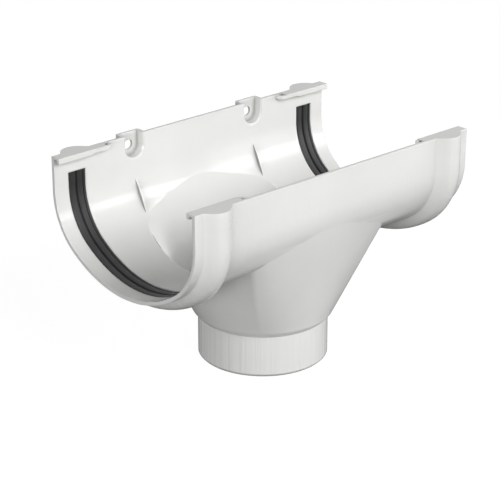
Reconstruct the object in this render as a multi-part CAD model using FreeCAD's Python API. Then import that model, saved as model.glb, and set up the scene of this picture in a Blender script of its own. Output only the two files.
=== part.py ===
import FreeCAD
import Part
import math
import os
from FreeCAD import Vector

# Gutter outlet, moulded in one piece, with a rubber seal in each end of its trough.
# A half-round trough joins two gutter lengths, a hopper tapers down from its floor
# to a round spigot, and two tabs on the back rim take the screws into the fascia.
# X runs along the gutter, Y points back to the fascia and Z is up. The origin is the
# centre of the spigot's bottom ring. All sizes are in millimetres.

# Trough
LENGTH = 222.0
HALF_WIDTH = 65.8
TROUGH_DEPTH = 71.2
STRAIGHT_WALL = 21.7
FLOOR_FLATTENING = 7.5
WALL = 2.1

# Spigot and the collar above it
SPIGOT_RADIUS = 41.0
SPIGOT_WALL = 2.0
SPIGOT_LENGTH = 26.7
SPIGOT_CHAMFER = 0.8
COLLAR_STEP = 3.4
COLLAR_HEIGHT = 3.8

# Hopper: its mouth is an oval of eight arcs, set below the trough's straight wall
HOPPER_HEIGHT = 40.8
HOPPER_WALL = 2.4
MOUTH_DROP = 13.0
MOUTH_HALF_LENGTH = 77.9
MOUTH_FRONT_RADIUS = 342.0
MOUTH_SIDE_RADIUS = 138.0
MOUTH_CORNER_RADIUS = 24.0
MOUTH_OVERRUN = 3.0
HOPPER_STRIP_ANGLE = 12.0

# Socket band round each end: a round crown that slopes to the wall before and behind it.
# Places are distances from the trough's end, and rises are over its outside.
BAND_CREST_AT = 16.6
BAND_RISE = 6.9
BAND_CROWN_RADIUS = 10.2
BAND_START = 6.2
BAND_CROWN_START = 7.9
BAND_CROWN_END = 24.0
BAND_END = 27.6

# Seal groove under the band, and the seal in it
GROOVE_START = 10.3
GROOVE_WIDTH = 13.0
GROOVE_TOP_DROP = 12.4
GROOVE_FLATS = 3
SEAL_CLEARANCE = 0.3
SEAL_RECESS = 0.1
SEAL_EDGE = 0.7
SEAL_EDGE_DEPTH = 0.8
SEAL_CHANNEL_AT = 4.9
SEAL_CHANNEL_WIDTH = 1.9
SEAL_CHANNEL_DEPTH = 1.3
SEAL_LINE_AT = 10.5
SEAL_LINE_WIDTH = 0.8
SEAL_LINE_DEPTH = 0.6
SEAL_FLANK = 0.35

# Hooks that the gutter's rims clip under
HOOK_LENGTH = 37.0
HOOK_PLATE = 1.6
HOOK_REACH = 5.0
HOOK_LIP = 2.0
HOOK_LIP_DEPTH = 3.5
HOOK_NOSE_DEPTH = 2.6
HOOK_DEEP_LENGTH = 24.0
HOOK_SLANT = 3.0
HOOK_NOSE_SETBACK = 0.3

# Screw tabs on the back rim
TAB_SPACING = 98.4
TAB_DEPTH = 6.2
TAB_POCKET_RADIUS = 6.9
TAB_WALL = 2.0
TAB_FLOOR = 1.8
TAB_DROP = 8.2
TAB_CHAMFER = 0.9
POCKET_CHAMFER = 1.0
SCREW_HOLE_RADIUS = 3.2

# Stop ribs inside the trough
RIB_SPACING = 98.4
RIB_TOP_DROP = 7.0
RIB_HEIGHT = 20.0
RIB_THICKNESS = 1.4
RIB_BULGE = 0.9

# Levels and places that follow from the sizes above
COLLAR_Z = SPIGOT_LENGTH + COLLAR_HEIGHT
FLOOR_Z = SPIGOT_LENGTH + HOPPER_HEIGHT
RIM_Z = FLOOR_Z + TROUGH_DEPTH
SPRING_Z = RIM_Z - STRAIGHT_WALL
MOUTH_Z = SPRING_Z - MOUTH_DROP
INNER_Y = HALF_WIDTH - WALL
FASCIA_Y = HALF_WIDTH + TAB_DEPTH
TAB_Z = RIM_Z - TAB_DROP

# The trough's section is a side arc on each side and one flatter arc as its floor
SIDE_DEPTH = SPRING_Z - FLOOR_Z
SIDE_RADIUS = SIDE_DEPTH - FLOOR_FLATTENING
SIDE_CENTRE_Y = HALF_WIDTH - SIDE_RADIUS
FLOOR_RADIUS = (SIDE_CENTRE_Y ** 2 + SIDE_DEPTH ** 2 - SIDE_RADIUS ** 2) / (2 * FLOOR_FLATTENING)
FLOOR_CENTRE_Z = FLOOR_Z + FLOOR_RADIUS
FLOOR_ANGLE = math.atan2(SIDE_CENTRE_Y, FLOOR_CENTRE_Z - SPRING_Z)
SIDE_ANGLE = math.pi / 2 - FLOOR_ANGLE

X_AXIS = Vector(1, 0, 0)
Y_AXIS = Vector(0, 1, 0)
Z_AXIS = Vector(0, 0, 1)
ORIGIN = Vector(0, 0, 0)


def polygon(points):
    return Part.Face(Part.makePolygon(points + [points[0]]))


def side_point(angle, inset):
    radius = SIDE_RADIUS - inset
    y = SIDE_CENTRE_Y + radius * math.cos(angle)
    z = SPRING_Z - radius * math.sin(angle)
    return y, z


def floor_point(angle, inset):
    radius = FLOOR_RADIUS - inset
    y = radius * math.sin(angle)
    z = FLOOR_CENTRE_Z - radius * math.cos(angle)
    return y, z


def wall_y(z, inset):
    """Half width of the trough at a level below the spring line."""
    joint_y, joint_z = side_point(SIDE_ANGLE, inset)
    if z >= joint_z:
        return SIDE_CENTRE_Y + math.sqrt((SIDE_RADIUS - inset) ** 2 - (SPRING_Z - z) ** 2)
    return math.sqrt((FLOOR_RADIUS - inset) ** 2 - (FLOOR_CENTRE_Z - z) ** 2)


def trough_block(inset, top_z, overrun):
    """The trough's section, filled up to top_z and run along X."""
    x = -LENGTH / 2 - overrun

    def at(yz, side=1):
        return Vector(x, side * yz[0], yz[1])

    rim = (HALF_WIDTH - inset, top_z)
    spring = side_point(0, inset)
    side_middle = side_point(SIDE_ANGLE / 2, inset)
    joint = side_point(SIDE_ANGLE, inset)
    bottom = floor_point(0, inset)
    edges = [
        Part.LineSegment(at(rim), at(spring)),
        Part.Arc(at(spring), at(side_middle), at(joint)),
        Part.Arc(at(joint), at(bottom), at(joint, -1)),
        Part.Arc(at(joint, -1), at(side_middle, -1), at(spring, -1)),
        Part.LineSegment(at(spring, -1), at(rim, -1)),
        Part.LineSegment(at(rim, -1), at(rim)),
    ]
    section = Part.Face(Part.Wire([edge.toShape() for edge in edges]))
    return section.extrude(X_AXIS * (LENGTH + 2 * overrun))


def round_the_trough(section, top_z):
    """A section drawn at the back spring line, run round the trough from rim to rim."""
    side_axis = Vector(0, SIDE_CENTRE_Y, SPRING_Z)
    floor_axis = Vector(0, 0, FLOOR_CENTRE_Z)
    side_turn = -math.degrees(SIDE_ANGLE)
    floor_turn = -2 * math.degrees(FLOOR_ANGLE)
    straight = section.extrude(Z_AXIS * (top_z - SPRING_Z))
    side = section.revolve(side_axis, X_AXIS, side_turn)
    at_joint = section.copy()
    at_joint.rotate(side_axis, X_AXIS, side_turn)
    floor = at_joint.revolve(floor_axis, X_AXIS, floor_turn)
    half = [straight, side]
    other_half = [piece.mirror(ORIGIN, Y_AXIS) for piece in half]
    return straight.fuse([side, floor] + other_half).removeSplitter()


def end_point(side, from_end, rise):
    """A point of a section at the back spring line, set by its distance from one end."""
    return Vector(side * (LENGTH / 2 - from_end), HALF_WIDTH + rise, SPRING_Z)


def band_rise(from_end):
    """The rise of the band's crown at a distance from the trough's end."""
    from_crest = from_end - BAND_CREST_AT
    return BAND_RISE - BAND_CROWN_RADIUS + math.sqrt(BAND_CROWN_RADIUS ** 2 - from_crest ** 2)


def socket_band(side):
    """The swollen band round one end, which holds the seal groove."""
    start = end_point(side, BAND_START, 0)
    crown_start = end_point(side, BAND_CROWN_START, band_rise(BAND_CROWN_START))
    crest = end_point(side, BAND_CREST_AT, BAND_RISE)
    crown_end = end_point(side, BAND_CROWN_END, band_rise(BAND_CROWN_END))
    end = end_point(side, BAND_END, 0)
    end_inside = end_point(side, BAND_END, -WALL / 2)
    start_inside = end_point(side, BAND_START, -WALL / 2)
    edges = [
        Part.makeLine(start, crown_start),
        Part.Arc(crown_start, crest, crown_end).toShape(),
        Part.makeLine(crown_end, end),
        Part.makeLine(end, end_inside),
        Part.makeLine(end_inside, start_inside),
        Part.makeLine(start_inside, start),
    ]
    return round_the_trough(Part.Face(Part.Wire(edges)), RIM_Z)


def groove_floor(side, clearance):
    """Points along the groove's floor, one wall thickness under the band's crown."""
    flat = GROOVE_WIDTH / GROOVE_FLATS
    stations = [GROOVE_START + index * flat for index in range(GROOVE_FLATS + 1)]
    rises = [band_rise(t) - WALL - clearance for t in stations]
    stations[0] += clearance
    stations[-1] -= clearance
    return [end_point(side, t, rise) for t, rise in zip(stations, rises)]


def seal_groove(side):
    floor = groove_floor(side, 0)
    mouth_rise = -2 * WALL
    start = end_point(side, GROOVE_START, mouth_rise)
    end = end_point(side, GROOVE_START + GROOVE_WIDTH, mouth_rise)
    return round_the_trough(polygon([start] + floor + [end]), RIM_Z - GROOVE_TOP_DROP)


def seal(side):
    """One rubber seal: it fills its groove and shows two lands with a channel between."""
    floor = groove_floor(side, SEAL_CLEARANCE)
    if side > 0:
        floor.reverse()
    left_x = floor[0].x
    right_x = floor[-1].x
    face_y = INNER_Y + SEAL_RECESS
    channel_end = SEAL_CHANNEL_AT + SEAL_CHANNEL_WIDTH
    line_end = SEAL_LINE_AT + SEAL_LINE_WIDTH
    profile = [
        (0, SEAL_EDGE_DEPTH),
        (SEAL_EDGE, 0),
        (SEAL_CHANNEL_AT, 0),
        (SEAL_CHANNEL_AT + SEAL_FLANK, SEAL_CHANNEL_DEPTH),
        (channel_end - SEAL_FLANK, SEAL_CHANNEL_DEPTH),
        (channel_end, 0),
        (SEAL_LINE_AT, 0),
        (SEAL_LINE_AT + SEAL_LINE_WIDTH / 2, SEAL_LINE_DEPTH),
        (line_end, 0),
    ]
    face = [Vector(left_x + run, face_y + depth, SPRING_Z) for run, depth in profile]
    right_shoulder = Vector(right_x - SEAL_FLANK, face_y, SPRING_Z)
    right_edge = Vector(right_x, face_y + SEAL_EDGE_DEPTH, SPRING_Z)
    section = polygon(floor + [right_edge, right_shoulder] + face[::-1])
    return round_the_trough(section, RIM_Z - GROOVE_TOP_DROP - SEAL_CLEARANCE)


def mouth_arcs():
    """Centre, radius and end angles of the arcs of the hopper's mouth, in order."""
    front_y = wall_y(MOUTH_Z, 0) - MOUTH_FRONT_RADIUS
    side_x = MOUTH_HALF_LENGTH - MOUTH_SIDE_RADIUS
    reach_front = MOUTH_FRONT_RADIUS - MOUTH_CORNER_RADIUS
    reach_side = MOUTH_SIDE_RADIUS - MOUTH_CORNER_RADIUS
    span = math.hypot(side_x, front_y)
    along = (reach_side ** 2 - reach_front ** 2 + span ** 2) / (2 * span)
    across = math.sqrt(reach_side ** 2 - along ** 2)
    toward_x = -side_x / span
    toward_y = front_y / span
    corner_x = side_x + toward_x * along - toward_y * across
    corner_y = toward_y * along + toward_x * across
    side_angle = math.atan2(corner_y, corner_x - side_x)
    front_angle = math.atan2(corner_y - front_y, corner_x)
    half = math.pi
    return [
        (side_x, 0, MOUTH_SIDE_RADIUS, -side_angle, side_angle),
        (corner_x, corner_y, MOUTH_CORNER_RADIUS, side_angle, front_angle),
        (0, front_y, MOUTH_FRONT_RADIUS, front_angle, half - front_angle),
        (-corner_x, corner_y, MOUTH_CORNER_RADIUS, half - front_angle, half - side_angle),
        (-side_x, 0, MOUTH_SIDE_RADIUS, half - side_angle, half + side_angle),
        (-corner_x, -corner_y, MOUTH_CORNER_RADIUS, half + side_angle, half + front_angle),
        (0, -front_y, MOUTH_FRONT_RADIUS, half + front_angle, 2 * half - front_angle),
        (corner_x, -corner_y, MOUTH_CORNER_RADIUS, 2 * half - front_angle, 2 * half - side_angle),
    ]


def ruled_strip(low_edge, high_edge, low_radius, high_radius):
    """A ruled surface between two arcs of the same angle, as one plain conic patch."""
    surface = Part.makeRuledSurface(low_edge, high_edge).Surface
    share = math.sqrt(high_radius / low_radius)
    for row, weights in enumerate(surface.getWeights(), 1):
        surface.setWeight(row, 1, weights[0] * share)
        surface.setWeight(row, 2, weights[1] / share)
    return surface.toShape()


def hopper_block(inset, low_z, low_radius):
    """Straight lines run from a circle to the mouth's oval, and on past it."""
    high_z = MOUTH_Z + MOUTH_OVERRUN
    stretch = (high_z - low_z) / (MOUTH_Z - low_z)
    low = Part.Circle(Vector(0, 0, low_z), Z_AXIS, low_radius)
    low_edges = []
    high_edges = []
    sides = []
    for x, y, radius, start, end in mouth_arcs():
        high_radius = low_radius + stretch * (radius - inset - low_radius)
        high = Part.Circle(Vector(stretch * x, stretch * y, high_z), Z_AXIS, high_radius)
        strips = round(math.degrees(end - start) / HOPPER_STRIP_ANGLE)
        turn = (end - start) / strips
        for index in range(strips):
            low_arc = Part.ArcOfCircle(low, start + index * turn, start + (index + 1) * turn)
            high_arc = Part.ArcOfCircle(high, start + index * turn, start + (index + 1) * turn)
            low_edges.append(low_arc.toShape())
            high_edges.append(high_arc.toShape())
            sides.append(ruled_strip(low_edges[-1], high_edges[-1], low_radius, high_radius))
    bottom = Part.Face(Part.Wire(low_edges))
    top = Part.Face(Part.Wire(high_edges))
    shell = Part.makeShell(sides + [bottom, top])
    shell.sewShape()
    block = Part.makeSolid(shell)
    if block.Volume < 0:
        block.reverse()
    return block


def spigot_block():
    """The spigot's outside with the chamfer at its foot and the conical collar on top."""
    points = [
        Vector(0, 0, 0),
        Vector(SPIGOT_RADIUS - SPIGOT_CHAMFER, 0, 0),
        Vector(SPIGOT_RADIUS, 0, SPIGOT_CHAMFER),
        Vector(SPIGOT_RADIUS, 0, SPIGOT_LENGTH),
        Vector(SPIGOT_RADIUS + COLLAR_STEP, 0, COLLAR_Z),
        Vector(0, 0, COLLAR_Z),
    ]
    return polygon(points).revolve(ORIGIN, Z_AXIS, 360)


def tongue(x, radius, near_y, far_y, top_z):
    """An upright plate with a round lower end, as the screw tabs and their pockets are."""
    left = Vector(x - radius, near_y, TAB_Z)
    right = Vector(x + radius, near_y, TAB_Z)
    low = Vector(x, near_y, TAB_Z - radius)
    top_left = Vector(x - radius, near_y, top_z)
    top_right = Vector(x + radius, near_y, top_z)
    edges = [
        Part.makeLine(top_left, left),
        Part.Arc(left, low, right).toShape(),
        Part.makeLine(right, top_right),
        Part.makeLine(top_right, top_left),
    ]
    return Part.Face(Part.Wire(edges)).extrude(Y_AXIS * (far_y - near_y))


def edges_at_y(shape, y, x, reach):
    """Edges that lie in one upright plane, within reach of x and below the rim."""
    found = []
    for edge in shape.Edges:
        box = edge.BoundBox
        in_plane = abs(box.YMin - y) < 1e-4 and abs(box.YMax - y) < 1e-4
        near = abs(box.XMin - x) < reach and abs(box.XMax - x) < reach
        below_rim = box.ZMin < RIM_Z - 0.01
        above_arc = box.ZMin > SPRING_Z
        if in_plane and near and below_rim and above_arc:
            found.append(edge)
    return found


def screw_tab(x):
    radius = TAB_POCKET_RADIUS + TAB_WALL
    tab = tongue(x, radius, HALF_WIDTH - WALL / 2, FASCIA_Y, RIM_Z)
    return tab.makeChamfer(TAB_CHAMFER, edges_at_y(tab, FASCIA_Y, x, radius + 1))


def tab_pocket(x):
    return tongue(x, TAB_POCKET_RADIUS, INNER_Y - WALL, FASCIA_Y - TAB_FLOOR, RIM_Z + WALL)


def screw_hole(x):
    start = Vector(x, INNER_Y, TAB_Z)
    return Part.makeCylinder(SCREW_HOLE_RADIUS, FASCIA_Y, start, Y_AXIS)


def rim_hook():
    """The hook at the back right corner: plate, hanging lip and rounded nose."""
    end_x = LENGTH / 2
    start_x = end_x - HOOK_LENGTH
    lip_y = INNER_Y - HOOK_REACH
    plate_width = HALF_WIDTH - WALL / 2 - lip_y
    plate = Part.makeBox(HOOK_LENGTH, plate_width, HOOK_PLATE, Vector(start_x, lip_y, RIM_Z - HOOK_PLATE))
    deep_x = end_x - HOOK_DEEP_LENGTH
    nose_z = RIM_Z - HOOK_NOSE_DEPTH
    lip_z = RIM_Z - HOOK_LIP_DEPTH
    lip_outline = [
        Vector(start_x, lip_y, RIM_Z),
        Vector(end_x, lip_y, RIM_Z),
        Vector(end_x, lip_y, lip_z),
        Vector(deep_x, lip_y, lip_z),
        Vector(deep_x - HOOK_SLANT, lip_y, nose_z),
        Vector(start_x, lip_y, nose_z),
    ]
    lip = polygon(lip_outline).extrude(Y_AXIS * HOOK_LIP)
    nose_height = HOOK_NOSE_DEPTH - HOOK_NOSE_SETBACK
    nose_foot = Vector(start_x, INNER_Y, nose_z)
    outside = Part.makeCylinder(HOOK_REACH, nose_height, nose_foot, Z_AXIS, 90)
    inside = Part.makeCylinder(HOOK_REACH - HOOK_LIP, nose_height, nose_foot, Z_AXIS, 90)
    nose = outside.cut(inside)
    nose.rotate(nose_foot, Z_AXIS, 180)
    tail = Part.makeBox(HOOK_LIP, WALL / 2, nose_height, Vector(start_x - HOOK_REACH, INNER_Y, nose_z))
    return plate.fuse([lip, nose, tail])


def stop_rib(x):
    """A thin crescent on the back wall, which the gutter's end comes up to."""
    top_z = SPRING_Z - RIB_TOP_DROP
    low_z = top_z - RIB_HEIGHT
    left_x = x - RIB_THICKNESS / 2
    top = Vector(left_x, wall_y(top_z, WALL), top_z)
    low = Vector(left_x, wall_y(low_z, WALL), low_z)
    across = (top - low).cross(X_AXIS)
    across.normalize()
    if across.y > 0:
        across = across * -1
    middle = (top + low) * 0.5
    proud = middle + across * RIB_BULGE
    buried_z = (top_z + low_z) / 2
    buried_y = wall_y(buried_z, WALL / 2)
    edges = [
        Part.Arc(top, proud, low).toShape(),
        Part.Arc(low, Vector(left_x, buried_y, buried_z), top).toShape(),
    ]
    return Part.Face(Part.Wire(edges)).extrude(X_AXIS * RIB_THICKNESS)


def outlet_body():
    tab_places = [-TAB_SPACING / 2, TAB_SPACING / 2]
    rib_places = [-RIB_SPACING / 2, RIB_SPACING / 2]
    outside = [socket_band(-1), socket_band(1), spigot_block()]
    outside.append(hopper_block(0, COLLAR_Z, SPIGOT_RADIUS + COLLAR_STEP))
    outside += [screw_tab(x) for x in tab_places]
    body = trough_block(0, RIM_Z, 0).fuse(outside)

    bore_radius = SPIGOT_RADIUS - SPIGOT_WALL
    hollows = [trough_block(WALL, RIM_Z + WALL, WALL)]
    hollows.append(hopper_block(HOPPER_WALL, SPIGOT_LENGTH, bore_radius))
    hollows.append(Part.makeCylinder(bore_radius, SPIGOT_LENGTH + WALL, Vector(0, 0, -WALL)))
    hollows += [seal_groove(-1), seal_groove(1)]
    hollows += [tab_pocket(x) for x in tab_places]
    hollows += [screw_hole(x) for x in tab_places]
    body = body.cut(hollows)

    mouths = []
    for x in tab_places:
        mouths += edges_at_y(body, INNER_Y, x, TAB_POCKET_RADIUS + 1)
    body = body.makeChamfer(POCKET_CHAMFER, mouths)

    hook = rim_hook()
    back_left = hook.mirror(ORIGIN, X_AXIS)
    hooks = [hook, back_left, hook.mirror(ORIGIN, Y_AXIS), back_left.mirror(ORIGIN, Y_AXIS)]
    back_ribs = [stop_rib(x) for x in rib_places]
    front_ribs = [rib.mirror(ORIGIN, Y_AXIS) for rib in back_ribs]
    return body.fuse(hooks + back_ribs + front_ribs).removeSplitter()


def save(shape, name):
    solids = shape.Solids
    print(name, "solids", len(solids), "valid", shape.isValid(), "volume", round(shape.Volume, 1))
    solids[0].exportStep("parts/" + name + ".step")


os.makedirs("parts", exist_ok=True)
save(outlet_body(), "outlet_body")
save(seal(-1), "seal_left")
save(seal(1), "seal_right")
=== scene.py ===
import math
import bmesh
import bpy
from mathutils import Matrix, Vector


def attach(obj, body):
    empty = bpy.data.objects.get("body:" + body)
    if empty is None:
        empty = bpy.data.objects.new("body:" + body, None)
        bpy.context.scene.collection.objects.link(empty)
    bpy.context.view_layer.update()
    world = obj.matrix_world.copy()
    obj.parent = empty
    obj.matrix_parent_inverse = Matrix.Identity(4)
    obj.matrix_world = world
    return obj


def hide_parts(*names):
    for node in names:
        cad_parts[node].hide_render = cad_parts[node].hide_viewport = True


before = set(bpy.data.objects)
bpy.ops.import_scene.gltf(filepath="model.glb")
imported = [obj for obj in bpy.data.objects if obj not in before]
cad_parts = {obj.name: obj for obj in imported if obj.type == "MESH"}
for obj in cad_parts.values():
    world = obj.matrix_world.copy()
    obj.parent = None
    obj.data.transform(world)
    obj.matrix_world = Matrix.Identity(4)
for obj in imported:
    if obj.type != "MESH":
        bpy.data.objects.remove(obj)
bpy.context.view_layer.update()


# Outlet body: one injection moulding of glossy white PVC-U, the whole fitting but its seals.
# The mould leaves a faint orange peel, long soft waves under the gloss, and fine drag lines
# along the spigot and the socket bands where the part was drawn off its core.

MM = 0.001
CLOUD_SIZE, WAVE_SIZE, SCUFF_SIZE, PEEL_SIZE = 60 * MM, 26 * MM, 5 * MM, 1.1 * MM
DRAG_WIDTH, DRAG_STRETCH = 1.6 * MM, 40
STREAK_WIDTH, STREAK_STRETCH = 3.2 * MM, 30
WAVE_DEPTH, STREAK_DEPTH, DRAG_DEPTH, PEEL_DEPTH = 0.1 * MM, 0.6 * MM, 0.006 * MM, 0.003 * MM


def colour(code):
    """An sRGB hex colour as a linear RGBA value."""
    parts = [int(code[i:i + 2], 16) / 255 for i in (1, 3, 5)]
    linear = [p / 12.92 if p <= 0.04045 else ((p + 0.055) / 1.055) ** 2.4 for p in parts]
    return (*linear, 1.0)


def node(tree, kind, sockets=(), **settings):
    """Adds a node with its settings, and links its sockets or gives them a value."""
    made = tree.nodes.new(kind)
    for name, value in settings.items():
        setattr(made, name, value)
    for place, value in sockets.items() if isinstance(sockets, dict) else enumerate(sockets):
        if isinstance(value, bpy.types.Node):
            value = value.outputs[0]
        if isinstance(value, bpy.types.NodeSocket):
            tree.links.new(value, made.inputs[place])
        else:
            made.inputs[place].default_value = value
    return made


def new_material(name):
    made = bpy.data.materials.new(name)
    made.use_nodes = True
    made.node_tree.nodes.clear()
    return made, made.node_tree


def where(tree, *tests):
    """1 where each value lies between its two limits, and 0 elsewhere."""
    held = 1.0
    for value, low, high in tests:
        above = node(tree, "ShaderNodeMath", [value, low], operation="GREATER_THAN")
        below = node(tree, "ShaderNodeMath", [value, high], operation="LESS_THAN")
        both = node(tree, "ShaderNodeMath", [above, below], operation="MULTIPLY")
        held = node(tree, "ShaderNodeMath", [held, both], operation="MULTIPLY")
    return held


# Moulded PVC-U: two whites close together, in broad clouds, keep it from looking painted, and
# the scuffs let the gloss waver. A real peel and real drag lines are finer than a pixel here,
# so they are drawn as coarse as they need to be to show.
pvc, tree = new_material("moulded_pvc_white")
place = node(tree, "ShaderNodeTexCoord").outputs["Object"]
clouds = node(tree, "ShaderNodeTexNoise", {"Vector": place, "Scale": 1 / CLOUD_SIZE, "Detail": 3.0})
waves = node(tree, "ShaderNodeTexNoise", {"Vector": place, "Scale": 1 / WAVE_SIZE, "Detail": 1.0})
scuffs = {"Vector": place, "Scale": 1 / SCUFF_SIZE, "Detail": 6.0, "Roughness": 0.7}
scuffs = node(tree, "ShaderNodeTexNoise", scuffs)
peel = node(tree, "ShaderNodeTexNoise", {"Vector": place, "Scale": 1 / PEEL_SIZE})
drawn = node(tree, "ShaderNodeVectorMath", [place, (1, 1, 1 / DRAG_STRETCH)], operation="MULTIPLY")
drag = {"Vector": drawn, "Scale": 1 / DRAG_WIDTH, "Detail": 3.0, "Roughness": 0.6}
drag = node(tree, "ShaderNodeTexNoise", drag)
drawn = node(tree, "ShaderNodeVectorMath", [place, (1, 1, 1 / STREAK_STRETCH)], operation="MULTIPLY")
streaks = node(tree, "ShaderNodeTexNoise", {"Vector": drawn, "Scale": 1 / STREAK_WIDTH})
patches = node(tree, "ShaderNodeMapRange", {"Value": clouds, "From Min": 0.35, "From Max": 0.65})
tint = {0: patches, 6: colour("#E3E3E1"), 7: colour("#E8E8E6")}
tint = node(tree, "ShaderNodeMix", tint, data_type="RGBA").outputs[2]
gloss = {"Value": scuffs, "From Min": 0.35, "From Max": 0.7, "To Min": 0.12, "To Max": 0.19}
gloss = node(tree, "ShaderNodeMapRange", gloss)

# Where a point lies, and whether it faces out from the middle or in. A level face has no side
# to look to, so it is taken as facing in where it looks up.
LEVEL_BIAS = 2 * MM
x, y, z = node(tree, "ShaderNodeSeparateXYZ", [place]).outputs
far_x = node(tree, "ShaderNodeMath", [x], operation="ABSOLUTE")
far_y = node(tree, "ShaderNodeMath", [y], operation="ABSOLUTE")
sign_x = node(tree, "ShaderNodeMath", [x], operation="SIGN")
sign_y = node(tree, "ShaderNodeMath", [y], operation="SIGN")
geometry = node(tree, "ShaderNodeNewGeometry")
to_object = {"vector_type": "NORMAL", "convert_from": "WORLD", "convert_to": "OBJECT"}
to_world = {"vector_type": "NORMAL", "convert_from": "OBJECT", "convert_to": "WORLD"}
facing = node(tree, "ShaderNodeVectorTransform", [geometry.outputs["Normal"]], **to_object)
look = node(tree, "ShaderNodeVectorTransform", [geometry.outputs["True Normal"]], **to_object)
look_x, look_y, look_z = node(tree, "ShaderNodeSeparateXYZ", [look]).outputs
looks_up = node(tree, "ShaderNodeMath", [look_z, -LEVEL_BIAS], operation="MULTIPLY")
looks_out = node(tree, "ShaderNodeMath", [look_y, y, looks_up], operation="MULTIPLY_ADD")
looks_out = node(tree, "ShaderNodeMath", [look_x, x, looks_out], operation="MULTIPLY_ADD")
skin = node(tree, "ShaderNodeMath", [looks_out], operation="SIGN")
outside = node(tree, "ShaderNodeMath", [skin, 0.0], operation="GREATER_THAN")
inside = node(tree, "ShaderNodeMath", [skin, 0.0], operation="LESS_THAN")

# Hopper: its front, back and two ends each run from a quarter of the round collar to one side
# of the mouth, and meet in a soft fold down each corner. The folds are shaded on the solid.
COLLAR_Z, COLLAR_RADIUS = 30.5 * MM, 44.4 * MM
MOUTH_Z, MOUTH_REACH_X, MOUTH_REACH_Y = 104 * MM, 77.9 * MM, 65 * MM
MOUTH_CORNER_X, MOUTH_CORNER_Y = 65 * MM, 59.7 * MM
HALF_QUARTER = math.pi / 4
COLLAR_CORNER = COLLAR_RADIUS * math.sin(HALF_QUARTER)
RUN_AT_CORNER = 0.555
FOLD_SOFTNESS, INNER_FOLD_SHIFT, INNER_CURVE = 0.05, 0.16, 0.75


def side_of_hopper(tree, rise, share, mouth_reach, mouth_corner, along_corner):
    """The way a side faces at a share of its width: along it, out from it and down."""
    bow = mouth_reach - mouth_corner
    left = node(tree, "ShaderNodeMath", [1.0, rise], operation="SUBTRACT")
    square = node(tree, "ShaderNodeMath", [share, share], operation="MULTIPLY")
    arc = [square, COLLAR_CORNER * (RUN_AT_CORNER - HALF_QUARTER), COLLAR_RADIUS * HALF_QUARTER]
    arc = node(tree, "ShaderNodeMath", arc, operation="MULTIPLY_ADD")
    run = node(tree, "ShaderNodeMath", [rise, along_corner], operation="MULTIPLY")
    run = node(tree, "ShaderNodeMath", [left, arc, run], operation="MULTIPLY_ADD")
    bend = node(tree, "ShaderNodeMath", [rise, 2 * bow], operation="MULTIPLY")
    bend = [left, COLLAR_CORNER * HALF_QUARTER, bend]
    bend = node(tree, "ShaderNodeMath", bend, operation="MULTIPLY_ADD")
    bend = node(tree, "ShaderNodeMath", [share, bend], operation="MULTIPLY")
    flare = [square, COLLAR_RADIUS - COLLAR_CORNER - bow, mouth_reach - COLLAR_RADIUS]
    flare = node(tree, "ShaderNodeMath", flare, operation="MULTIPLY_ADD")
    spread = node(tree, "ShaderNodeMath", [share, along_corner - COLLAR_CORNER], operation="MULTIPLY")
    spread = node(tree, "ShaderNodeMath", [bend, spread], operation="MULTIPLY")
    down = node(tree, "ShaderNodeMath", [run, flare, spread], operation="MULTIPLY_ADD")
    along = node(tree, "ShaderNodeMath", [bend, MOUTH_Z - COLLAR_Z], operation="MULTIPLY")
    outward = node(tree, "ShaderNodeMath", [run, MOUTH_Z - COLLAR_Z], operation="MULTIPLY")
    return along, outward, node(tree, "ShaderNodeMath", [down, -1.0], operation="MULTIPLY")


rise = node(tree, "ShaderNodeMapRange", {"Value": z, "From Min": COLLAR_Z, "From Max": MOUTH_Z})
corner_x = {"Value": rise, "To Min": COLLAR_CORNER, "To Max": MOUTH_CORNER_X}
corner_x = node(tree, "ShaderNodeMapRange", corner_x)
corner_y = {"Value": rise, "To Min": COLLAR_CORNER, "To Max": MOUTH_CORNER_Y}
corner_y = node(tree, "ShaderNodeMapRange", corner_y)
share_x = node(tree, "ShaderNodeMath", [x, corner_x], operation="DIVIDE")
share_y = node(tree, "ShaderNodeMath", [y, corner_y], operation="DIVIDE")
towards_end = node(tree, "ShaderNodeMath", [share_x], operation="ABSOLUTE")
towards_front = node(tree, "ShaderNodeMath", [share_y], operation="ABSOLUTE")
fold = node(tree, "ShaderNodeMath", [towards_front, towards_end], operation="SUBTRACT")
fold = node(tree, "ShaderNodeMath", [inside, INNER_FOLD_SHIFT, fold], operation="MULTIPLY_ADD")
front = {"Value": fold, "From Min": -FOLD_SOFTNESS, "From Max": FOLD_SOFTNESS}
front = node(tree, "ShaderNodeMapRange", front)
full_side = {"From Min": -1.0, "From Max": 1.0, "To Min": -1.0, "To Max": 1.0}
share_x = node(tree, "ShaderNodeMapRange", {"Value": share_x, **full_side})
share_y = node(tree, "ShaderNodeMapRange", {"Value": share_y, **full_side})
curve = node(tree, "ShaderNodeMapRange", {"Value": inside, "To Min": 1.0, "To Max": INNER_CURVE})
share_x = node(tree, "ShaderNodeMath", [share_x, curve], operation="MULTIPLY")

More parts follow.
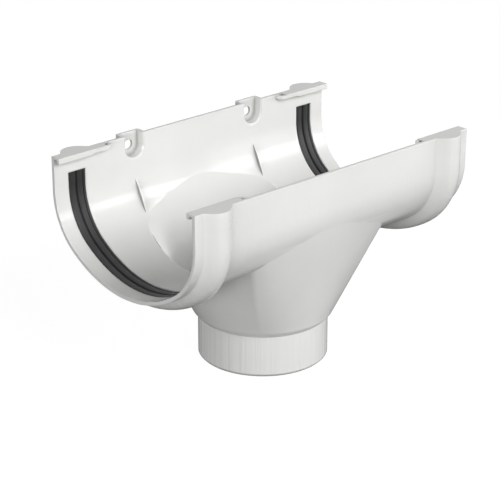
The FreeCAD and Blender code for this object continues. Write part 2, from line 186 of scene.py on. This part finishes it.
front_side = (MOUTH_REACH_Y, MOUTH_CORNER_Y, MOUTH_CORNER_X)
along, outward, down = side_of_hopper(tree, rise, share_x, *front_side)
outward = node(tree, "ShaderNodeMath", [outward, sign_y], operation="MULTIPLY")
front_way = node(tree, "ShaderNodeCombineXYZ", [along, outward, down])
front_way = node(tree, "ShaderNodeVectorMath", [front_way], operation="NORMALIZE")
end_side = (MOUTH_REACH_X, MOUTH_CORNER_X, MOUTH_CORNER_Y)
along, outward, down = side_of_hopper(tree, rise, share_y, *end_side)
outward = node(tree, "ShaderNodeMath", [outward, sign_x], operation="MULTIPLY")
end_way = node(tree, "ShaderNodeCombineXYZ", [outward, along, down])
end_way = node(tree, "ShaderNodeVectorMath", [end_way], operation="NORMALIZE")
way = {0: front, 4: end_way, 5: front_way}
way = node(tree, "ShaderNodeMix", way, data_type="VECTOR").outputs[1]
way = node(tree, "ShaderNodeVectorMath", {"Vector": way, "Scale": skin}, operation="SCALE")

# Inside, the trough's wall rolls over a lip into the hopper's two ends
TROUGH_CENTRE_Y, TROUGH_CENTRE_Z = 23.8 * MM, 117 * MM
LIP_FROM, LIP_TO = 39.9 * MM, 45.9 * MM
across = node(tree, "ShaderNodeMath", [far_y, TROUGH_CENTRE_Y], operation="SUBTRACT")
over = node(tree, "ShaderNodeMath", [z, TROUGH_CENTRE_Z], operation="SUBTRACT")
reach = node(tree, "ShaderNodeMath", [over, over], operation="MULTIPLY")
reach = node(tree, "ShaderNodeMath", [across, across, reach], operation="MULTIPLY_ADD")
reach = node(tree, "ShaderNodeMath", [reach], operation="SQRT")
lip = {"Value": reach, "From Min": LIP_FROM, "From Max": LIP_TO, "To Min": 1.0, "To Max": 0.0}
lip = node(tree, "ShaderNodeMapRange", lip)
off_fold = {"Value": fold, "From Min": -0.8, "From Max": -0.2, "To Min": 1.0, "To Max": 0.0}
off_fold = node(tree, "ShaderNodeMapRange", off_fold)
lip = node(tree, "ShaderNodeMath", [lip, off_fold], operation="MULTIPLY")
lip = node(tree, "ShaderNodeMath", [lip, inside], operation="MULTIPLY")
wall_side = node(tree, "ShaderNodeMath", [across, sign_y], operation="MULTIPLY")
wall_way = node(tree, "ShaderNodeCombineXYZ", [0.0, wall_side, over])
wall_way = node(tree, "ShaderNodeVectorMath", [wall_way], operation="NORMALIZE")
wall_way = node(tree, "ShaderNodeVectorMath", {"Vector": wall_way, "Scale": -1.0}, operation="SCALE")
rolled = node(tree, "ShaderNodeMix", {0: lip, 4: way, 5: wall_way}, data_type="VECTOR").outputs[1]
change = node(tree, "ShaderNodeVectorMath", [rolled, facing], operation="SUBTRACT")

# It is the hopper where the surface leans outwards and up, and isn't the trough's curved wall
SIDEWAYS, STEEP = 0.02, 0.45
HOPPER_FOOT_Z, HOPPER_TOP_Z, HOPPER_REACH = COLLAR_Z + 0.1 * MM, 97 * MM, 80 * MM
lean = node(tree, "ShaderNodeMath", [look_z, skin], operation="MULTIPLY")
sideways = node(tree, "ShaderNodeMath", [look_x], operation="ABSOLUTE")
turned = node(tree, "ShaderNodeMath", [sideways, SIDEWAYS], operation="GREATER_THAN")
steep = node(tree, "ShaderNodeMath", [lean, -STEEP], operation="GREATER_THAN")
tapered = node(tree, "ShaderNodeMath", [turned, steep], operation="MAXIMUM")
hopper = [(lean, -2.0, -0.05), (z, HOPPER_FOOT_Z, HOPPER_TOP_Z), (far_x, -1.0, HOPPER_REACH)]
hopper = node(tree, "ShaderNodeMath", [where(tree, *hopper), tapered], operation="MULTIPLY")

# Moulded edges are round: most on the bands and the opening, and least on the ribs and foot
BAND_FROM, BAND_TO, BAND_TOP_Z = 81 * MM, 106 * MM, 128 * MM
RIB_FROM, RIB_TO, RIB_FOOT_Z, RIB_TOP_Z = 46.7 * MM, 51.7 * MM, 85 * MM, 114 * MM
OPENING_REACH, OPENING_FOOT_Z, OPENING_TOP_Z = 79 * MM, 55 * MM, 103 * MM
SPIGOT_FOOT_Z = 4 * MM
EDGE, BAND_EDGE, OPENING_EDGE, FINE_EDGE = 0.6 * MM, 1.4 * MM, 1.2 * MM, 0.2 * MM
on_band = where(tree, (far_x, BAND_FROM, BAND_TO), (z, -1.0, BAND_TOP_Z))
on_rib = where(tree, (far_x, RIB_FROM, RIB_TO), (z, RIB_FOOT_Z, RIB_TOP_Z))
off_rib = node(tree, "ShaderNodeMath", [1.0, on_rib], operation="SUBTRACT")
opening = where(tree, (far_x, -1.0, OPENING_REACH), (z, OPENING_FOOT_Z, OPENING_TOP_Z))
opening = node(tree, "ShaderNodeMath", [opening, inside], operation="MULTIPLY")
on_rim = node(tree, "ShaderNodeMath", [opening, off_rib], operation="MULTIPLY")
on_foot = node(tree, "ShaderNodeMath", [z, SPIGOT_FOOT_Z], operation="LESS_THAN")
radius = EDGE
edges = (on_band, BAND_EDGE), (on_rib, FINE_EDGE), (on_rim, OPENING_EDGE), (on_foot, FINE_EDGE)
for part, edge in edges:
    radius = node(tree, "ShaderNodeMath", [part, edge - EDGE, radius], operation="MULTIPLY_ADD")
rounding = node(tree, "ShaderNodeBevel", {"Radius": radius}, samples=8)
flat = [rounding, geometry.outputs["Normal"]]
flat = node(tree, "ShaderNodeVectorMath", flat, operation="DOT_PRODUCT").outputs["Value"]
off_edge = node(tree, "ShaderNodeMapRange", {"Value": flat, "From Min": 0.985, "From Max": 0.998})
on_edge = node(tree, "ShaderNodeMath", [1.0, off_edge], operation="SUBTRACT")
amount = node(tree, "ShaderNodeMath", [hopper, off_edge], operation="MULTIPLY")
change = node(tree, "ShaderNodeVectorMath", {"Vector": change, "Scale": amount}, operation="SCALE")
shaped = node(tree, "ShaderNodeVectorTransform", [rounding], **to_object)
shaped = node(tree, "ShaderNodeVectorMath", [shaped, change], operation="ADD")
shaped = node(tree, "ShaderNodeVectorMath", [shaped], operation="NORMALIZE")
surface = node(tree, "ShaderNodeVectorTransform", [shaped], **to_world)

# The streaks of the drag are deepest on the spigot, and hardly show inside
spigot = {"Value": z, "From Min": 26 * MM, "From Max": 34 * MM, "To Min": 1.0, "To Max": 0.22}
spigot = node(tree, "ShaderNodeMapRange", spigot)
depth = node(tree, "ShaderNodeMath", [on_band, 0.4, spigot], operation="MULTIPLY_ADD")
fainter = node(tree, "ShaderNodeMapRange", {"Value": inside, "To Min": 1.0, "To Max": 0.15})
depth = node(tree, "ShaderNodeMath", [depth, fainter], operation="MULTIPLY")
streaks = node(tree, "ShaderNodeMath", [streaks, depth], operation="MULTIPLY")
relief = (waves, WAVE_DEPTH), (streaks, STREAK_DEPTH), (drag, DRAG_DEPTH), (peel, PEEL_DEPTH)
for height, deep in relief:
    surface = node(tree, "ShaderNodeBump", {"Height": height, "Distance": deep, "Normal": surface})

# Painted light and shade in the colour: a painted highlight on the rounded rim of the opening,
# painted shade on the ribs' sides, in tight corners and on the spigot's downward-facing foot
painted_rim_highlight = node(tree, "ShaderNodeMath", [opening, on_edge], operation="MULTIPLY")
# Painted shade: the ribs' sideways-facing faces are darkened in the colour
painted_rib_shade = node(tree, "ShaderNodeMath", [sideways, 0.7], operation="GREATER_THAN")
painted_rib_shade = node(tree, "ShaderNodeMath", [on_rib, painted_rib_shade], operation="MULTIPLY")
# Painted shade: the colour is darkened where ambient occlusion finds tight corners
open_sky = node(tree, "ShaderNodeAmbientOcclusion", {"Distance": 5 * MM}, samples=8, only_local=True)
painted_corner_shade = {"Value": open_sky.outputs["AO"], "From Min": 0.3, "From Max": 0.8, "To Min": 0.8, "To Max": 0.0}
painted_corner_shade = node(tree, "ShaderNodeMapRange", painted_corner_shade)
# Painted shade: the colour is darkened on the outside below 1.8 mm, where the spigot's foot faces down
painted_foot_shade = {"Value": z, "From Min": 1.3 * MM, "From Max": 1.8 * MM, "To Min": 0.6, "To Max": 0.0}
painted_foot_shade = node(tree, "ShaderNodeMapRange", painted_foot_shade)
painted_foot_shade = node(tree, "ShaderNodeMath", [painted_foot_shade, outside], operation="MULTIPLY")
# Mixes the painted highlight and the painted shades into the colour
for part, shade in (painted_rim_highlight, "#F8F8F6"), (painted_rib_shade, "#A4A4A2"), (painted_corner_shade, "#8E8E8C"), (painted_foot_shade, "#8E8E8C"):
    tint = {0: part, 6: tint, 7: colour(shade)}
    tint = node(tree, "ShaderNodeMix", tint, data_type="RGBA").outputs[2]

shader = {"Base Color": tint, "Roughness": gloss, "IOR": 1.53, "Normal": surface}
shader = node(tree, "ShaderNodeBsdfPrincipled", shader)
node(tree, "ShaderNodeOutputMaterial", {"Surface": shader})

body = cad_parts["outlet_body"]
body.data.materials.clear()
body.data.materials.append(pvc)

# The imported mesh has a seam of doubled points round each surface. Joined, its normals run
# smoothly over tangent surfaces, and stay sharp at real edges and where the hopper meets the
# trough. Below the mouth, a facet is the hopper's where it looks sideways or is steep.
JOIN_WITHIN, SHARP_FROM = 0.002 * MM, math.radians(24)
smoothing = bpy.data.node_groups.new("joined_surfaces", "GeometryNodeTree")
smoothing.interface.new_socket("Geometry", in_out="INPUT", socket_type="NodeSocketGeometry")
smoothing.interface.new_socket("Geometry", in_out="OUTPUT", socket_type="NodeSocketGeometry")
joined = {"Geometry": node(smoothing, "NodeGroupInput"), "Distance": JOIN_WITHIN}
joined = node(smoothing, "GeometryNodeMergeByDistance", joined)
bent = node(smoothing, "GeometryNodeInputMeshEdgeAngle").outputs["Unsigned Angle"]
sharp = node(smoothing, "ShaderNodeMath", [bent, SHARP_FROM], operation="GREATER_THAN")
facet = node(smoothing, "ShaderNodeSeparateXYZ", [node(smoothing, "GeometryNodeInputNormal")])
point = node(smoothing, "ShaderNodeSeparateXYZ", [node(smoothing, "GeometryNodeInputPosition")])
turned = node(smoothing, "ShaderNodeMath", [facet.outputs[0]], operation="ABSOLUTE")
turned = node(smoothing, "ShaderNodeMath", [turned, SIDEWAYS], operation="GREATER_THAN")
steep = node(smoothing, "ShaderNodeMath", [facet.outputs[2]], operation="ABSOLUTE")
steep = node(smoothing, "ShaderNodeMath", [steep, STEEP], operation="LESS_THAN")
leans = node(smoothing, "ShaderNodeMath", [turned, steep], operation="MAXIMUM")
below = node(smoothing, "ShaderNodeMath", [point.outputs[2], HOPPER_TOP_Z], operation="LESS_THAN")
leans = node(smoothing, "ShaderNodeMath", [leans, below], operation="MULTIPLY")
on_faces = node(smoothing, "GeometryNodeFieldOnDomain", [leans], data_type="FLOAT", domain="FACE")
border = where(smoothing, (on_faces, 0.1, 0.9))
creased = node(smoothing, "ShaderNodeMath", [sharp, border], operation="MAXIMUM")
normals = {"Mesh": joined, "Edge Sharpness": creased, "Remove Custom": True}
normals = node(smoothing, "GeometryNodeSetMeshNormal", normals, mode="SHARPNESS")
node(smoothing, "NodeGroupOutput", [normals])
body.modifiers.new("joined_surfaces", "NODES").node_group = smoothing


# Seals: two U-shaped strips of matt black EPDM rubber, pushed into the grooves inside the
# socket bands. Each shows two crowned lands with a channel between them, and a fine slot
# beside its right edge.

HALF_LENGTH, HALF_WIDTH, WALL = 111, 65.8, 2.1
SPRING_Z, FLOOR_Z = 117.0, 67.5
SIDE_RADIUS = 42.0
SIDE_CENTRE_Y = HALF_WIDTH - SIDE_RADIUS
SIDE_DEPTH = SPRING_Z - FLOOR_Z
FLOOR_RADIUS = (SIDE_CENTRE_Y ** 2 + SIDE_DEPTH ** 2 - SIDE_RADIUS ** 2) / (2 * (SIDE_DEPTH - SIDE_RADIUS))
FLOOR_CENTRE_Z = FLOOR_Z + FLOOR_RADIUS
FLOOR_ANGLE = math.atan2(SIDE_CENTRE_Y, FLOOR_CENTRE_Z - SPRING_Z)
SIDE_ANGLE = math.pi / 2 - FLOOR_ANGLE
SIDE_STEPS, FLOOR_STEPS = 14, 20
SEAL_FROM_END, SEAL_WIDTH, SEAL_TOP_Z = 10.4, 12.8, 126.2
SEAL_ROUNDING = 0.08
BLOOM_SIZE, GRAIN_SIZE, GRAIN_DEPTH = 9 * MM, 0.35 * MM, 0.01 * MM

# Section from its left edge: run along X, and depth behind the trough's inner face
face_profile = [
    (0.0, 1.0), (0.25, 0.45), (0.75, 0.08), (1.6, -0.08), (2.8, -0.12), (4.0, -0.06), (4.75, 0.12),
    (5.1, 0.6), (5.25, 1.35), (6.55, 1.35), (6.7, 0.6), (7.05, 0.12),
    (7.8, -0.06), (8.8, -0.12), (9.9, -0.05), (10.45, 0.1), (10.65, 0.75), (11.0, 0.75), (11.15, 0.1),
    (11.6, 0.0), (12.2, 0.1), (12.65, 0.4), (12.8, 1.0),
]
# Its back, in the groove: distance from the fitting's end, and rise over the trough's outside
groove_profile = [(10.4, 4.6), (14.6, 6.6), (19.0, 6.5), (23.2, 4.25)]

# Moulded EPDM: a grey bloom in soft patches and a fine grain keep it from looking painted.
# The grain is coarser than the real one, which would be too fine to show.
rubber, tree = new_material("epdm_rubber_black")
place = node(tree, "ShaderNodeTexCoord").outputs["Object"]
bloom = {"Vector": place, "Scale": 1 / BLOOM_SIZE, "Detail": 5.0, "Roughness": 0.65}
bloom = node(tree, "ShaderNodeTexNoise", bloom)
grain = node(tree, "ShaderNodeTexNoise", {"Vector": place, "Scale": 1 / GRAIN_SIZE, "Detail": 3.0})
patches = node(tree, "ShaderNodeMapRange", {"Value": bloom, "From Min": 0.4, "From Max": 0.7})
tint = {0: patches, 6: colour("#141415"), 7: colour("#1F2021")}
tint = node(tree, "ShaderNodeMix", tint, data_type="RGBA").outputs[2]
dull = {"Value": grain, "From Min": 0.3, "From Max": 0.7, "To Min": 0.5, "To Max": 0.68}
dull = node(tree, "ShaderNodeMapRange", dull)
surface = node(tree, "ShaderNodeBump", {"Height": grain, "Distance": GRAIN_DEPTH})
shader = {"Base Color": tint, "Roughness": dull, "IOR": 1.5, "Normal": surface}
shader = node(tree, "ShaderNodeBsdfPrincipled", shader)
node(tree, "ShaderNodeOutputMaterial", {"Surface": shader})


def opened(mesh, faces, top):
    """Takes away the section left inside the strip, once the strip has grown on from it."""
    inner = [face for face in faces if face.is_valid and face is not top]
    bmesh.ops.delete(mesh, geom=inner, context="FACES_ONLY")


def run_straight(mesh, last, top, rise):
    grown = bmesh.ops.extrude_face_region(mesh, geom=last, use_keep_orig=True)["geom"]
    verts = [g for g in grown if isinstance(g, bmesh.types.BMVert)]
    bmesh.ops.translate(mesh, verts=verts, vec=(0, 0, rise * MM))
    opened(mesh, last, top)
    return [g for g in grown if isinstance(g, bmesh.types.BMFace)]


def run_round(mesh, last, top, y, z, angle, steps):
    centre = (0, y * MM, z * MM)
    grown = bmesh.ops.spin(mesh, geom=last, cent=centre, axis=(1, 0, 0), angle=-angle, steps=steps)
    opened(mesh, last, top)
    return [g for g in grown["geom_last"] if isinstance(g, bmesh.types.BMFace)]


for side, name in ((-1, "left"), (1, "right")):
    left = HALF_LENGTH - SEAL_FROM_END - SEAL_WIDTH if side > 0 else -HALF_LENGTH + SEAL_FROM_END
    section = [(left + run, HALF_WIDTH - WALL + depth) for run, depth in face_profile]
    floor = [(side * (HALF_LENGTH - t), HALF_WIDTH + rise - WALL) for t, rise in groove_profile]
    section += floor if side > 0 else floor[::-1]
    mesh = bmesh.new()
    top = mesh.faces.new([mesh.verts.new((x * MM, y * MM, SEAL_TOP_Z * MM)) for x, y in section])
    last = run_straight(mesh, [top], top, SPRING_Z - SEAL_TOP_Z)
    last = run_round(mesh, last, top, SIDE_CENTRE_Y, SPRING_Z, SIDE_ANGLE, SIDE_STEPS)
    last = run_round(mesh, last, top, 0, FLOOR_CENTRE_Z, 2 * FLOOR_ANGLE, FLOOR_STEPS)
    last = run_round(mesh, last, top, -SIDE_CENTRE_Y, SPRING_Z, SIDE_ANGLE, SIDE_STEPS)
    run_straight(mesh, last, top, SEAL_TOP_Z - SPRING_Z)
    bmesh.ops.recalc_face_normals(mesh, faces=mesh.faces)
    strip = bpy.data.meshes.new("rubber_seal_" + name)
    mesh.to_mesh(strip)
    mesh.free()
    strip.shade_smooth()
    strip.materials.append(rubber)
    piece = bpy.data.objects.new("rubber_seal_" + name, strip)
    bpy.context.scene.collection.objects.link(piece)
    rounding = piece.modifiers.new("rounding", "BEVEL")
    rounding.width = SEAL_ROUNDING * MM
    rounding.segments = 2
    rounding.limit_method = "ANGLE"
    rounding.angle_limit = math.radians(28)
    rounding.harden_normals = True
    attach(piece, "root")
    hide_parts("seal_" + name)


# Stage: a plain white floor that keeps the fitting's soft shadow and clears from below, a
# white surround, and softboxes all round: the largest in front and above, the others low.

GROUND_RADIUS, GROUND_DROP = 6.0, 0.2 * MM
SPECKLE_SIZE, FLOOR_GLOW, SURROUND_FILL = 3 * MM, 0.93, 0.05
SHADOW_REACH, WHITE_FROM = 0.35, 0.9

# Matt board: a grey that takes the shadow, with a glow that brings it up to white for the
# camera alone. Past the shadow it turns to plain white, so that no edge shows.
white, tree = new_material("white_floor")
place = node(tree, "ShaderNodeTexCoord").outputs["Object"]
speckle = node(tree, "ShaderNodeTexNoise", {"Vector": place, "Scale": 1 / SPECKLE_SIZE})
tint = {0: speckle, 6: colour("#6A6A6A"), 7: colour("#6E6E6E")}
tint = node(tree, "ShaderNodeMix", tint, data_type="RGBA").outputs[2]
matt = node(tree, "ShaderNodeBsdfDiffuse", {"Color": tint})
glow = node(tree, "ShaderNodeEmission", {"Color": (1, 1, 1, 1), "Strength": FLOOR_GLOW})
near = node(tree, "ShaderNodeAddShader", [matt, glow])
path = node(tree, "ShaderNodeLightPath")
near = node(tree, "ShaderNodeMixShader", [path.outputs["Is Camera Ray"], matt, near])
far = node(tree, "ShaderNodeEmission", {"Color": (1, 1, 1, 1), "Strength": 1.0})
distance = node(tree, "ShaderNodeVectorMath", [place], operation="LENGTH").outputs["Value"]
distance = {"Value": distance, "From Min": SHADOW_REACH, "From Max": WHITE_FROM}
distance = node(tree, "ShaderNodeMapRange", distance)
board = node(tree, "ShaderNodeMixShader", [distance, near, far])
seen = [path.outputs["Is Camera Ray"], path.outputs["Is Glossy Ray"]]
seen = node(tree, "ShaderNodeMath", seen, operation="MAXIMUM")
board = node(tree, "ShaderNodeMixShader", [seen, matt, board])
clear = node(tree, "ShaderNodeBsdfTransparent")
from_below = node(tree, "ShaderNodeNewGeometry").outputs["Backfacing"]
board = node(tree, "ShaderNodeMixShader", [from_below, board, clear])
node(tree, "ShaderNodeOutputMaterial", {"Surface": board})

mesh = bmesh.new()
bmesh.ops.create_circle(mesh, cap_ends=True, radius=GROUND_RADIUS, segments=64)
ground = bpy.data.meshes.new("floor")
mesh.to_mesh(ground)
mesh.free()
ground.materials.append(white)
floor_piece = bpy.data.objects.new("floor", ground)
bpy.context.scene.collection.objects.link(floor_piece)
floor_piece.location.z = -GROUND_DROP

surround = bpy.data.worlds.new("surround")
surround.use_nodes = True
tree = surround.node_tree
tree.nodes.clear()
path = node(tree, "ShaderNodeLightPath")
seen = [path.outputs["Is Camera Ray"], path.outputs["Is Glossy Ray"]]
seen = node(tree, "ShaderNodeMath", seen, operation="MAXIMUM")
seen = node(tree, "ShaderNodeMath", [seen, path.outputs["Is Transmission Ray"]], operation="MAXIMUM")
level = node(tree, "ShaderNodeMapRange", {"Value": seen, "To Min": SURROUND_FILL, "To Max": 1.0})
sky = node(tree, "ShaderNodeBackground", {"Color": (1, 1, 1, 1), "Strength": level})
node(tree, "ShaderNodeOutputWorld", {"Surface": sky})
bpy.context.scene.world = surround

SOFTBOX_DISTANCE = 1.6
SOFTBOX_AIM = Vector((0, 0, 0.09))


def softbox(name, azimuth, elevation, width, height, power):
    """A lamp aimed at the fitting. Azimuth 0 stands in front (-Y), and grows towards +X."""
    lamp = bpy.data.lights.new(name, "AREA")
    lamp.shape = "RECTANGLE"
    lamp.size, lamp.size_y = width, height
    lamp.energy = power
    a, e = math.radians(azimuth), math.radians(elevation)
    away = Vector((math.sin(a) * math.cos(e), -math.cos(a) * math.cos(e), math.sin(e)))
    made = bpy.data.objects.new(name, lamp)
    made.location = SOFTBOX_AIM + away * SOFTBOX_DISTANCE
    made.rotation_euler = (-away).to_track_quat("-Z", "Y").to_euler()
    bpy.context.scene.collection.objects.link(made)


softbox("softbox_front", 0, 34, 1.1, 0.8, 16.5)
softbox("softbox_low_left", -63, 7, 0.9, 0.6, 13.0)
softbox("softbox_right", 45, 18, 1.3, 0.45, 6.0)
softbox("softbox_low_right", 62, 5, 0.7, 0.5, 6.5)
softbox("softbox_far_right", 98, 24, 0.5, 0.5, 2.0)
softbox("softbox_back", 180, 8, 0.9, 0.6, 13.0)


# Camera: the photograph's place and angle, from the left and above, with its long lens. The
# aim is seen at AIM_X, AIM_Y in a picture 500 pixels wide.

AZIMUTH, ELEVATION = math.radians(-42.021), math.radians(22.53)
DISTANCE, FOCUS_PX, AIM_X, AIM_Y = 1.1828, 1906.5, 263.068, 231.695
PICTURE_PX, SENSOR_WIDTH = 500, 36
aim = Vector((0, 0, 0.08))

right = Vector((math.cos(AZIMUTH), math.sin(AZIMUTH), 0))
forward = Vector((-math.sin(AZIMUTH), math.cos(AZIMUTH), 0))
back = Vector((0, 0, math.sin(ELEVATION))) - forward * math.cos(ELEVATION)
up = back.cross(right)
aside = right * ((AIM_X - PICTURE_PX / 2) * DISTANCE / FOCUS_PX)
above = up * ((AIM_Y - PICTURE_PX / 2) * DISTANCE / FOCUS_PX)
lens = bpy.data.cameras.new("camera")
lens.sensor_width = SENSOR_WIDTH
lens.lens = FOCUS_PX * SENSOR_WIDTH / PICTURE_PX
camera = bpy.data.objects.new("camera", lens)
camera.matrix_world = Matrix((right, up, back)).transposed().to_4x4()
camera.location = aim + back * DISTANCE - aside + above
bpy.context.scene.collection.objects.link(camera)
bpy.context.scene.camera = camera

bpy.context.scene.view_settings.view_transform = "Standard"
